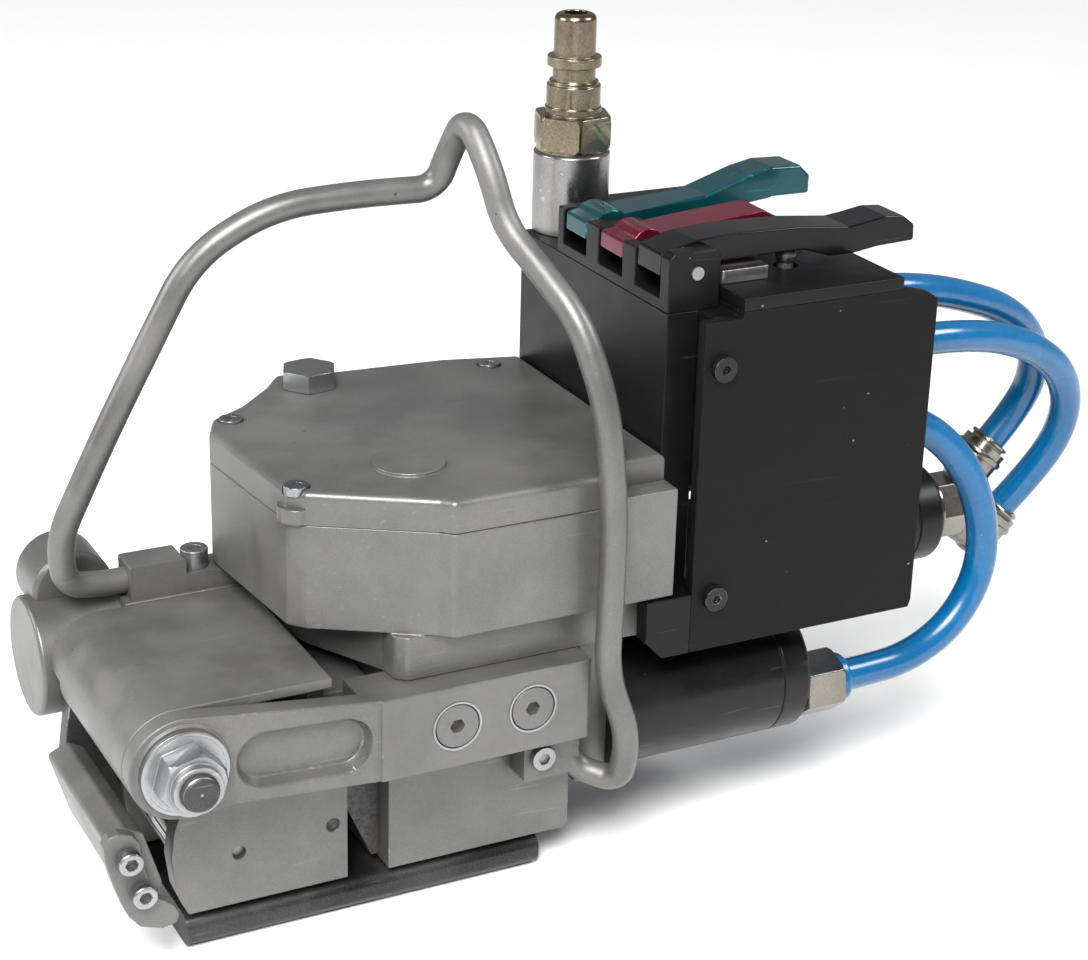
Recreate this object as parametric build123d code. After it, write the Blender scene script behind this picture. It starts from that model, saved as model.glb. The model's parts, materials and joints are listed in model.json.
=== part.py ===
from build123d import *
import os
from math import atan2, cos, degrees, hypot, pi, radians, sin, tan

# Hand-held pneumatic strapping tool, in millimetres.
# Modelling datum: the near, front, top corner of the valve block.
# +X runs from the nose to the air hoses, +Y away from the open side, +Z up.
# Every node is moved at the end so that the tool stands on the middle of its base.

# ---- fits ----
RUN_GAP = 0.05        # radial gap of a shaft in its bush
MOVE_GAP = 0.4        # gap between pieces that move past each other
WALL = 3.0            # casing wall

# ---- valve block and its guards ----
BLOCK_W = 71.2        # across, y
FRONT_T = 8.0         # front plate
BOX_H = 78.9          # deck down to the foot of the guards
BODY_X1 = 50.0        # rear face of the drilled block
BODY_DEPTH = 42.0     # height of the drilled block
GUARD_NEAR = -9.1     # outer faces of the two guards
GUARD_FAR = 77.5
GUARD_X0 = 4.4         # front edges of the two guards
GUARD_REAR = 65.8
TOP_Z = 4.5           # top plate, upper face
TOP_X1 = 56.0
INLET = (11.5, 68.3)  # air inlet axis (x, y)
INLET_R = 5.0          # spigot of the inlet bushing

# ---- levers ----
PIN_X, PIN_Z, PIN_R = 7.0, 8.6, 1.5
BRACKET_L, BRACKET_H, BRACKET_W = 12.9, 13.6, 52.5
INNER_CHEEK_H = 11.0            # cheeks behind the near one
LEVER_W = 10.4
LEVER_Y = (9.6, 26.8, 44.0)     # centres: black, red, teal
PLUNGER_X, PLUNGER_R, BALL_R = 36.0, 1.9, 2.4
SPRING_TOP, SPRING_BOTTOM = -11.0, -24.0

# ---- gear housing ----
HOUSE_TOP, HOUSE_SEAM, HOUSE_FLOOR = -32.0, -39.5, -64.0
HOUSE_WALL = 3.0
CAST_BOTTOM = -74.4
SHAFT_A = (-54.7, 15.3)         # output shaft of the sealing drive (x, y)
SHAFT_R = 4.0
BUSH_T = 2.0

# ---- nose, arm and far casting ----
NOSE_X, NOSE_Z, NOSE_R = -116.8, -80.8, 11.6
BOLT_R = 4.0
ARM_NEAR, ARM_INNER, ARM_THIN = -10.8, 2.8, -5.5
ARM_BOTTOM, ARM_X1 = -94.0, -21.4
COVER_END = 46.8
WORM_Y, WORM_Z = 59.1, -83.4    # worm shaft axis
BOSS_R, BOSS_X0 = 14.0, -130.4
HUB_Y0 = 57.6

# ---- motors ----
TENSION_MOTOR = (38.0, -77.6, 12.9)     # y, z, outer radius
SEAL_MOTOR = (12.0, -98.0, 16.0)
PLATE_X0, PLATE_X1 = -18.0, -10.0       # plate that both motors bolt to
PLATE_DROP = 0.6                        # plate top below the housing floor
GEAR_X0, GEAR_X1 = -28.0, -21.0         # spur pair, along x
TENSION_END, SEAL_END = 101.0, 43.0

# ---- gears: teeth and module ----
WHEEL = (-98.5, -108.5)                 # tension wheel axis (x, z)
WHEEL_R, STRAP_W = 15.5, 28.0
WORM_WHEEL_T, WORM_R = 36, 7.1
PINION_T, SPUR_T, SPUR_M = 12, 23, 1.25
IDLER_T, OUTPUT_T = 14, 28
SEAL_WHEEL_T, SEAL_WORM_R = 18, 5.0
ECCENTRIC = 1.2
JAW_STROKE = 1.0      # each way

# ---- jaws, foot and guide ----
JAW_Y0, CASE_Y1 = 2.9, 39.0
CASE_X0 = -64.8
FOOT_Y0, FOOT_Y1 = 39.6, 44.4
SOLE_TOP, SOLE_BOTTOM = -126.6, -134.0
SOLE_X0, SOLE_X1 = -112.5, -26.0

# ---- bail handle and hoses ----
BAIL_D = 6.0
HOSE_D = 8.0


def box(x0, x1, y0, y1, z0, z1):
    return Pos((x0 + x1) / 2, (y0 + y1) / 2, (z0 + z1) / 2) * Box(x1 - x0, y1 - y0, z1 - z0)


def rod(axis, radius, a, b, lo, hi):
    """Cylinder along x, y or z; a and b are its other two coordinates in order."""
    mid = (lo + hi) / 2
    place = {"x": Pos(mid, a, b) * Rot(0, 90, 0),
             "y": Pos(a, mid, b) * Rot(90, 0, 0),
             "z": Pos(a, b, mid)}[axis]
    return place * Cylinder(radius, hi - lo)


def prism(axis, points, lo, hi):
    """Outline in the plane across an axis, pushed along that axis."""
    lift = {"x": lambda a, b: (lo, a, b), "y": lambda a, b: (a, lo, b), "z": lambda a, b: (a, b, lo)}[axis]
    way = {"x": (1, 0, 0), "y": (0, 1, 0), "z": (0, 0, 1)}[axis]
    face = make_face(Polyline([lift(a, b) for a, b in points], close=True))
    return extrude(face, amount=hi - lo, dir=way)


def soften(solid, axis, radius):
    """Round the edges that run along one axis."""
    return fillet(solid.edges().filter_by(axis), radius)


def top_edges(solid, z, radius):
    edges = solid.edges().filter_by(lambda e: abs(e.bounding_box().min.Z - z) < 0.01
                                    and abs(e.bounding_box().max.Z - z) < 0.01)
    return fillet(edges, radius)


def hexagon(axis, across, a, b, lo, hi, turn=0):
    r = across / 3 ** 0.5
    ring = [(a + r * cos(radians(60 * i + turn)), b + r * sin(radians(60 * i + turn))) for i in range(6)]
    return prism(axis, ring, lo, hi)


def gear(teeth, module, width, bore=0.0):
    """Spur gear about z with involute flanks, centred, one tooth on +x."""
    pitch_r = teeth * module / 2
    base_r = pitch_r * cos(radians(20))
    tip_r, root_r = pitch_r + 0.92 * module, pitch_r - 1.2 * module
    inv20 = tan(radians(20)) - radians(20)
    half = pi / (2 * teeth) - 0.16 / pitch_r      # half tooth angle at the pitch circle, less backlash

    def flank(radius):
        if radius <= base_r:
            return half + inv20
        roll = (radius ** 2 / base_r ** 2 - 1) ** 0.5
        return half + inv20 - (roll - atan2(roll, 1))

    radii = [root_r, max(base_r, root_r + 0.1), pitch_r, tip_r]
    outline = []
    for i in range(teeth):
        mid = 2 * pi * i / teeth
        outline += [(r, mid - flank(r)) for r in radii]
        outline += [(r, mid + flank(r)) for r in reversed(radii)]
    body = prism("z", [(r * cos(t), r * sin(t)) for r, t in outline], -width / 2, width / 2)
    return body - Cylinder(bore, 2 * width) if bore else body


def worm(pitch_r, length):
    """Single start worm about z, module 1, centred."""
    lead = pi
    core_r = pitch_r - 1.2
    half_root, half_tip = 0.62, 0.25
    path = Pos(0, 0, -length / 2 + lead / 2) * Helix(lead, length - lead, core_r)
    start = path @ 0
    section = Plane(origin=start, x_dir=(1, 0, 0), z_dir=(0, 1, 0)) * make_face(
        Polyline([(-0.3, half_root), (2.0, half_tip), (2.0, -half_tip), (-0.3, -half_root)], close=True))
    thread = sweep(section, path=path, is_frenet=True)
    phase = 360 * (lead - length / 2) / lead      # brings a groove to +x at mid length
    return Cylinder(core_r, length) + Rot(0, 0, phase) * thread


def tube_path(points, diameter, label):
    """Straight runs joined by tangent arcs, each arc as large as its runs allow."""
    pts = [Vector(*p) for p in points]
    radii = []
    for a, b, c in zip(pts, pts[1:], pts[2:]):
        turn = radians((b - a).get_angle(c - b))
        radii.append(0.45 * min((b - a).length, (c - b).length) / tan(turn / 2))
    line = FilletPolyline(pts, radius=radii)
    profile = Plane(origin=line @ 0, z_dir=line % 0) * Circle(diameter / 2)
    solid = sweep(profile, path=line)
    print(label, "length", round(line.length, 1), "volume error",
          round(solid.volume / (pi * diameter ** 2 / 4 * line.length) - 1, 4),
          "radii", [round(r, 1) for r in radii])
    return solid


def joined(solids):
    return Compound(children=list(solids))


NODES = {}


# ================= valve block =================

def lever_slot(y):
    return box(-1, BRACKET_L + 1, y - LEVER_W / 2 - MOVE_GAP, y + LEVER_W / 2 + MOVE_GAP, 2.6, 20)


def bracket():
    blank = box(0, BRACKET_L, 0, BRACKET_W, 0, BRACKET_H)
    blank = chamfer(blank.edges().filter_by(Axis.Y).sort_by(Axis.Z)[-2:], 1.4)
    blank -= box(-1, BRACKET_L + 1, LEVER_Y[0], BRACKET_W + 1, INNER_CHEEK_H, 20)
    for y in LEVER_Y:
        blank -= lever_slot(y)
    return blank - rod("y", PIN_R, PIN_X, PIN_Z, -1, BRACKET_W + 1)


def lever(y, outline):
    """Flat lever with a knuckle round the bracket pin and rounded edges."""
    blade = prism("y", outline, y - LEVER_W / 2, y + LEVER_W / 2)
    blade = fillet(blade.edges().filter_by(Axis.Y), 0.8)
    knuckle = rod("y", 4.2, PIN_X, PIN_Z, y - LEVER_W / 2, y + LEVER_W / 2)
    return blade + knuckle - rod("y", PIN_R + RUN_GAP, PIN_X, PIN_Z, y - LEVER_W, y + LEVER_W)


def plunger(y, touch_z):
    ball_z = touch_z - BALL_R - 0.15
    stem = rod("z", PLUNGER_R, PLUNGER_X, y, SPRING_TOP, ball_z)
    collar = rod("z", 3.4, PLUNGER_X, y, SPRING_TOP, SPRING_TOP + 3)
    return stem + collar + Pos(PLUNGER_X, y, ball_z) * Sphere(BALL_R)


def spring(y):
    """Return spring under a plunger, with closed rings at both ends."""
    wire, coil_r = 0.7, 2.5
    z0, z1 = SPRING_BOTTOM + wire / 2, SPRING_TOP - wire / 2
    path = Pos(PLUNGER_X, y, z0) * Helix((z1 - z0) / 5, z1 - z0, coil_r)
    coil = sweep(Plane(origin=path @ 0, z_dir=path % 0) * Circle(wire / 2), path=path, is_frenet=True)
    ends = [Pos(PLUNGER_X, y, z) * Torus(coil_r, wire / 2) for z in (z0, z1)]
    return coil + ends[0] + ends[1]


def valve_nodes():
    tension_y, tension_z, tension_r = TENSION_MOTOR
    front = box(0, FRONT_T, 0, BLOCK_W, -BOX_H, 0)
    foot_top = HOUSE_FLOOR - 0.4
    foot = prism("y", [(-7.2, foot_top), (GUARD_X0, foot_top), (GUARD_X0, -BOX_H), (-2.6, -BOX_H),
                       (-7.0, -BOX_H + 4.6)], GUARD_NEAR, -4.6)
    foot += box(-4.9, FRONT_T, -4.6, 6.0, -BOX_H + 2.0, foot_top)
    front = front + foot - rod("x", tension_r, tension_y, tension_z, -20, 20)
    NODES["front_plate"] = front - rod("z", INLET_R, *INLET, -20, 1)

    body = box(FRONT_T, BODY_X1, GUARD_NEAR + WALL, GUARD_FAR - WALL, -BODY_DEPTH, 0)
    body += box(FRONT_T, 21.0, GUARD_FAR - WALL, GUARD_FAR, -BODY_DEPTH, 0)
    body += box(14.0, BODY_X1, GUARD_NEAR + WALL, GUARD_FAR - WALL, 0, TOP_Z - WALL)
    body -= box(18.0, 45.0, 4, 66, -BODY_DEPTH - 1, -28)
    for y in LEVER_Y:
        body -= rod("z", PLUNGER_R + RUN_GAP, PLUNGER_X, y, -12, 6)
        body -= rod("z", 3.4 + MOVE_GAP, PLUNGER_X, y, SPRING_BOTTOM, -6)
    for y, z in HOSE_PORTS:
        body -= rod("x", 4.2, y, z, BODY_X1 - 8, BODY_X1 + 1)
    body -= rod("z", 9.6, *INLET, 0, 5)
    NODES["valve_body"] = body - rod("z", INLET_R, *INLET, -20, 1)

    plate = box(14.0, TOP_X1, GUARD_NEAR, GUARD_FAR, TOP_Z - WALL, TOP_Z)
    plate -= rod("z", 9.4, *INLET, -2, 10)
    for y in LEVER_Y:
        plate -= rod("z", BALL_R + MOVE_GAP, PLUNGER_X, y, -5, 6)
    NODES["top_plate"] = plate

    outline = [(GUARD_X0, -BOX_H), (GUARD_REAR - 0.6, -BOX_H), (GUARD_REAR, -BOX_H + 2), (GUARD_REAR, -1.6),
               (63.0, 0.2), (TOP_X1 + 1.5, TOP_Z - WALL), (14.0, TOP_Z - WALL), (14.0, 0), (GUARD_X0, 0)]
    screw_at = [(9.2, -10.6), (10.1, -65.9)]
    for name, y0, y1 in (("near_guard", GUARD_NEAR, GUARD_NEAR + WALL), ("far_guard", GUARD_FAR - WALL,
                                                                         GUARD_FAR)):
        guard = prism("y", outline, y0, y1)
        guard -= box(0, 21.0, GUARD_FAR - WALL - 0.1, GUARD_FAR + 1, -BODY_DEPTH, 6)
        NODES[name] = guard
    heads = []
    for x, z in screw_at:
        head = Pos(x, GUARD_NEAR, z) * Rot(90, 0, 0) * (Sphere(3.6) & Pos(0, 0, 5) * Box(9, 9, 10))
        head &= rod("y", 2.9, x, z, GUARD_NEAR - 1.7, GUARD_NEAR + 1)
        heads.append(head - hexagon("y", 2.0, x, z, GUARD_NEAR - 4, GUARD_NEAR - 0.6))
    NODES["guard_screws"] = joined(heads)

    NODES["lever_bracket"] = bracket()
    NODES["lever_pin"] = rod("y", PIN_R, PIN_X, PIN_Z, -0.5, BRACKET_W)
    NODES["lever_run"] = lever(LEVER_Y[0], [(0.2, 6.9), (0.4, 12.4), (9, 14.6), (18, 15.2), (36, 14.7),
                                            (49, 13.4),
                                            (54, 14.0), (59, 14.8), (64, 14.4), (67.2, 12.0), (67.4, 8.2),
                                            (57.7, 7.8), (51, 6.9), (44.8, 6.9), (37.3, 9.3), (15, 9.2)])
    NODES["lever_seal"] = lever(LEVER_Y[1], [(0.2, 6.3), (0.3, 10.7), (20, 12.6), (37.5, 13.9), (40, 12.4),
                                             (40, 9.2)])
    NODES["lever_tension"] = lever(LEVER_Y[2], [(0.2, 5.9), (0.3, 10.5), (32, 13.6), (44, 17.4), (50, 18.6),
                                                (58, 18.3), (60.8, 15.6), (60.8, 11.2), (50, 11.3), (38,
                                                                                                     9.9)])
    touch = {"run": 9.3, "seal": 8.9, "tension": 9.7}
    for (name, z), y in zip(touch.items(), LEVER_Y):
        NODES["plunger_" + name] = plunger(y, z)
        NODES["spring_" + name] = spring(y)
    NODES["stop_block"] = soften(box(14.6, 27.0, 2.0, 13.6, TOP_Z, 7.6), Axis.Z, 0.8)


def inlet_nodes():
    x, y = INLET
    bushing = rod("z", 9.25, x, y, 0, 19.6) + rod("z", INLET_R, x, y, -8, 0)
    bushing = fillet(bushing.edges().filter_by(GeomType.CIRCLE).sort_by(Axis.Z)[-1], 0.6)
    bushing -= rod("z", 2.8, x, y, -9, 30)
    bushing -= rod("z", 6.6, x, y, 14.0, 21)
    NODES["inlet_bushing"] = bushing

    plug = hexagon("z", 17.0, x, y, 20.4, 28.6, 12) & Pos(x, y, 24.5) * Sphere(10.1)
    plug += rod("z", 6.6, x, y, 14.2, 20.6) + rod("z", 8.6, x, y, 19.6, 20.4)
    rings = [(6.8, 28.6, 30.4), (6.5, 30.4, 35.6), (5.9, 35.6, 36.6), (5.1, 36.6, 40.0),
             (6.45, 40.0, 42.4), (5.0, 42.4, 52.5)]
    for radius, lo, hi in rings:
        plug += rod("z", radius, x, y, lo, hi)
    plug = fillet(plug.edges().filter_by(GeomType.CIRCLE).sort_by(Axis.Z)[-1], 1.6)
    NODES["air_plug"] = plug - rod("z", 2.8, x, y, 10, 60)


# ================= gear housing =================

def housing_outline(stepped):
    near = [(0, -2), (-15, -2), (-18, -8.5)] if stepped else [(0, -8.5)]
    far = [(-54.5, -8.5), (-57, -6), (-81.6, 9), (-84.7, 12.7), (-88, 51), (-84.5, 58.7), (-75.7, 64.2),
           (-65.8, 74), (-60.6, 81), (-47, 78), (-19, 76), (0, BLOCK_W)]
    return near + far


def inner_outline():
    w = HOUSE_WALL
    return [(-w, 1.0), (-20.0, 1.0), (-23.0, -8.5 + w), (-55.5 + w / 3, -8.5 + w), (-80.4 + w / 2, 11.2),
            (-81.8, 13.5), (-85, 50.4),
            (-82.2, 56.6), (-73.7, 61.8), (-63.6, 72.2), (-59.4, 77.6), (-47, 75), (-19, 73), (-w,
                                                                                               BLOCK_W - w)]


def motor_can(y, z, radius, end, shaft_r):
    """Closed motor tube along x, with a grooved end and a bearing bore in each end."""
    can = rod("x", radius, y, z, PLATE_X1, end)
    can = fillet(can.edges().filter_by(GeomType.CIRCLE).sort_by(Axis.X)[-1], 1.5)
    can -= rod("x", radius + 1, y, z, end - 8.0, end - 7.6) - rod("x", radius - 0.5, y, z, end - 8.0,
                                                                  end - 7.6)
    can -= rod("x", radius - WALL, y, z, PLATE_X1 + 4, end - 9)
    return can - rod("x", shaft_r + RUN_GAP, y, z, PLATE_X1 - 20, end - 4.5)


def shaft_b():
    """Idler shaft: in mesh with the output gear, and with the worm below."""
    y = SEAL_MOTOR[0] + SEAL_WORM_R + SEAL_WHEEL_T / 2
    reach = (IDLER_T + OUTPUT_T) / 2
    return SHAFT_A[0] + (reach ** 2 - (y - SHAFT_A[1]) ** 2) ** 0.5, y


def lid_screw_spots():
    return [(-81, 56), (-82.0, 13), (-10, 67.5), (-10, 4.5)]


def lid_screws():
    screws = []
    for x, y in lid_screw_spots():
        screw = rod("z", 2.7, x, y, HOUSE_TOP - 1.6, HOUSE_TOP + 0.5)
        screw += rod("z", 1.5, x, y, HOUSE_SEAM + 0.5, HOUSE_TOP - 1.6)
        screws.append(screw - hexagon("z", 2.5, x, y, HOUSE_TOP - 0.9, HOUSE_TOP + 1))
    return screws


def housing_nodes():
    shell = prism("z", housing_outline(False), HOUSE_FLOOR, HOUSE_SEAM - 0.1)
    shell = fillet(shell.edges().filter_by(Axis.Z).filter_by(lambda e: e.center().X < -30), 2.2)
    shell += prism("z", [(0, -8.5), (0, -2.1), (-15.1, -2.1), (-18.1, -8.5)], HOUSE_SEAM - 5,
                   HOUSE_SEAM + 1.6)
    cavity = prism("z", inner_outline(), HOUSE_FLOOR + 4, HOUSE_SEAM + 5)
    shell = shell - cavity
    for x, y in lid_screw_spots():
        post = rod("z", 4.6, x, y, HOUSE_FLOOR + 2, HOUSE_SEAM - 0.1)
        shell += post & prism("z", housing_outline(False), HOUSE_FLOOR, HOUSE_SEAM - 0.1)
    for spot in (SHAFT_A, shaft_b()):
        shell -= rod("z", SHAFT_R + BUSH_T, *spot, HOUSE_FLOOR - 1, HOUSE_FLOOR + 5)
    NODES["gear_housing"] = shell

    lid = prism("z", housing_outline(True), HOUSE_SEAM, HOUSE_TOP)
    lid = fillet(lid.edges().filter_by(Axis.Z).filter_by(lambda e: e.center().X < -30), 2.2)
    lid = top_edges(lid, HOUSE_TOP, 1.6)
    ax, ay = SHAFT_A
    lid += rod("z", 8.2, ax, ay, HOUSE_TOP - 1, HOUSE_TOP + 0.9)
    lid -= prism("z", [(x * 0.93 - 3, y * 0.9 + 3) for x, y in inner_outline()], HOUSE_SEAM - 1,
                 HOUSE_SEAM + 3.0)
    for spot in (SHAFT_A, shaft_b()):
        lid += rod("z", 8.0, *spot, HOUSE_SEAM, HOUSE_SEAM + 3.5)
        lid -= rod("z", SHAFT_R + RUN_GAP, *spot, HOUSE_SEAM - 1, HOUSE_SEAM + 4.0)
    for x, y in lid_screw_spots():
        lid += rod("z", 4.2, x, y, HOUSE_SEAM, HOUSE_SEAM + 3.5)
        lid -= rod("z", 3.0, x, y, HOUSE_TOP - 1.6, HOUSE_TOP + 1)
        lid -= rod("z", 1.6, x, y, HOUSE_SEAM - 1, HOUSE_TOP)
    NODES["gear_lid"] = lid

    oil = hexagon("z", 12.0, -56, 75 - 4.5, HOUSE_TOP, HOUSE_TOP + 4.6, 8)
    oil &= Pos(-56, 70.5, HOUSE_TOP - 6.6) * Sphere(12.9)
    NODES["oil_plug"] = oil + rod("z", 3.0, -56, 70.5, HOUSE_TOP - 3, HOUSE_TOP)
    NODES["gear_lid"] -= rod("z", 3.0, -56, 70.5, HOUSE_TOP - 3, HOUSE_TOP + 1)

    outline = [(-5.2, -4.3), (-63.5, -4.3), (-65.8, -2.0), (-66.4, 3.0), (-76.5, 22), (-80, 34), (-80, 62),
               (-9.3, 62), (-9.3, 6.4), (-5.2, 6.4)]
    casting = prism("z", outline, CAST_BOTTOM, HOUSE_FLOOR)
    casting = fillet(casting.edges().filter_by(Axis.Z).filter_by(lambda e: e.center().X < -60 and e.center().Y < 30), 2)
    casting -= rod("x", BOSS_R, WORM_Y, WORM_Z, -90, 0)
    casting -= box(-96, -66, 52, 66, CAST_BOTTOM - 1, HOUSE_FLOOR)
    casting -= case_hull(0, gear_case_x0(), 0) & box(-90, 0, 0, 100, -120, HOUSE_FLOOR)
    casting -= box(PLATE_X0, 0, 20, 63, CAST_BOTTOM - 1, HOUSE_FLOOR - PLATE_DROP)
    for spot in (SHAFT_A, shaft_b()):
        casting -= rod("z", SHAFT_R + BUSH_T, *spot, CAST_BOTTOM - 1, HOUSE_FLOOR + 1)
    NODES["gear_housing"] += casting
    bush = [rod("z", SHAFT_R + BUSH_T, *s, CAST_BOTTOM, HOUSE_FLOOR + 4) - rod("z", SHAFT_R + RUN_GAP,
                                                                               *s, -80, -50)
            for s in (SHAFT_A, shaft_b())]
    NODES["seal_bushes"] = joined(bush)


# ================= sealing drive =================

def sealing_nodes():
    my, mz, mr = SEAL_MOTOR
    ax, ay = SHAFT_A
    bx, by = shaft_b()
    gear_z = (HOUSE_FLOOR + 4 + HOUSE_SEAM) / 2 - 1
    turn = degrees(atan2(by - ay, bx - ax))

    output = rod("z", SHAFT_R, ax, ay, -112, HOUSE_SEAM + 3.5)
    output += Pos(ax, ay, gear_z) * Rot(0, 0, turn) * gear(OUTPUT_T, 1.0, 12)
    output += rod("z", 4.0, ax, ay + ECCENTRIC, -120, -111)
    NODES["output_shaft"] = output

    idler = rod("z", SHAFT_R, bx, by, mz - 6, HOUSE_SEAM + 3.5)
    idler += Pos(bx, by, gear_z) * Rot(0, 0, turn + 180 + 180 / IDLER_T) * gear(IDLER_T, 1.0, 13)
    idler += Pos(bx, by, mz) * Rot(0, 0, -90) * gear(SEAL_WHEEL_T, 1.0, 7)
    NODES["idler_shaft"] = idler

    thread = Pos(bx, my, mz) * Rot(0, 90, 0) * Rot(0, 0, 90) * worm(SEAL_WORM_R, 15)
    shaft = rod("x", 2.6, my, mz, bx - 10, PLATE_X1)
    rotor = rod("x", mr - WALL - 1.5, my, mz, PLATE_X1 + 5, SEAL_END - 10) + rod("x", 4.0, my, mz,
                                                                                 PLATE_X0, SEAL_END - 5)
    for i in range(5):
        vane = Pos(0, my, mz) * Rot(72 * i, 0, 0) * box(PLATE_X1 + 5, SEAL_END - 10, -0.6, 0.6, 8,
                                                        mr - WALL - 0.8)
        rotor += vane
    NODES["seal_rotor"] = rotor + shaft + thread

    NODES["seal_motor_housing"] = motor_can(my, mz, mr, SEAL_END, 4.0)
    fy, fz = SEAL_FITTING
    fitting = hexagon("x", 14.0, fy, fz, SEAL_END, SEAL_END + 10.5, 20) & Pos(SEAL_END + 4.5, fy,
                                                                              fz) * Sphere(9.6)
    NODES["seal_fitting"] = fitting - rod("x", HOSE_D / 2, fy, fz, SEAL_END + 6, 70)
    collar = rod("x", 6.0, fy, fz, SEAL_END + 10.5, SEAL_END + 13.5)
    collar = fillet(collar.edges().filter_by(GeomType.CIRCLE).sort_by(Axis.X)[-1], 1.0)
    NODES["hose_collar"] = collar - rod("x", HOSE_D / 2, fy, fz, 30, 70)

    case = box(CASE_X0, -19.0, JAW_Y0, CASE_Y1, -125.0, CAST_BOTTOM)
    case -= box(CASE_X0 + 1.6, -18.0, JAW_Y0 + WALL, CASE_Y1 - 2.6, -126, CAST_BOTTOM - WALL)
    case += box(-62.8, -46.2, JAW_Y0 + WALL - 1, 7.2, -125.0, -118.0)
    case -= box(gear_case_x0(), 0, 24.0, 45.0, -93.0, CAST_BOTTOM + 1)
    for spot in (SHAFT_A, (bx, by)):
        case -= rod("z", SHAFT_R + BUSH_T, *spot, CAST_BOTTOM - 4, CAST_BOTTOM + 1)
    NODES["seal_case"] = fillet(case.edges().filter_by(Axis.Y).filter_by(
        lambda e: e.center().X > -25 and e.center().Z < -120), 1.5)

    jaw = box(-62.6, -46.4, 8.4, 34.0, -124.6, -109.0)
    slot_x, slot_y = SHAFT_R + ECCENTRIC + 0.6, SHAFT_R + ECCENTRIC + JAW_STROKE + 0.5
    jaw -= box(ax - slot_x, ax + slot_x, ay - slot_y, ay + slot_y, -121.0, -108.0)
    for i in range(9):
        jaw -= box(-61.5 + 1.8 * i, -60.7 + 1.8 * i, 8.0, 35.0, -125.0, -123.9)
    NODES["weld_jaw"] = jaw
    NODES["cutter_blade"] = prism("y", [(-73.6, -98.0), (-71.0, -95.0), (CASE_X0, -95.0), (CASE_X0, -124.0),
                                        (-66.6, -124.0), (-73.6, -108.4)], 8.6, 36.0)


# ================= tension drive =================

def gear_case_x0():
    return GEAR_X0 - WALL - 1


def case_hull(inset, x0, x1):
    """Round-ended case about the motor axis and the worm shaft axis."""
    my, mz, _ = TENSION_MOTOR
    spur_r = SPUR_T * SPUR_M / 2 + 2.6 + WALL - inset
    pin_r = PINION_T * SPUR_M / 2 + 2.0 + WALL - inset
    return rod("x", spur_r, WORM_Y, WORM_Z, x0, x1) + rod("x", pin_r, my, mz, x0, x1)


def worm_axis():
    """Worm shaft place, set by the spur pair's centre distance along a fixed direction."""
    my, mz, _ = TENSION_MOTOR
    reach = (PINION_T + SPUR_T) * SPUR_M / 2
    span = hypot(WORM_Y - my, WORM_Z - mz)
    return my + (WORM_Y - my) * reach / span, mz + (WORM_Z - mz) * reach / span


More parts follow.
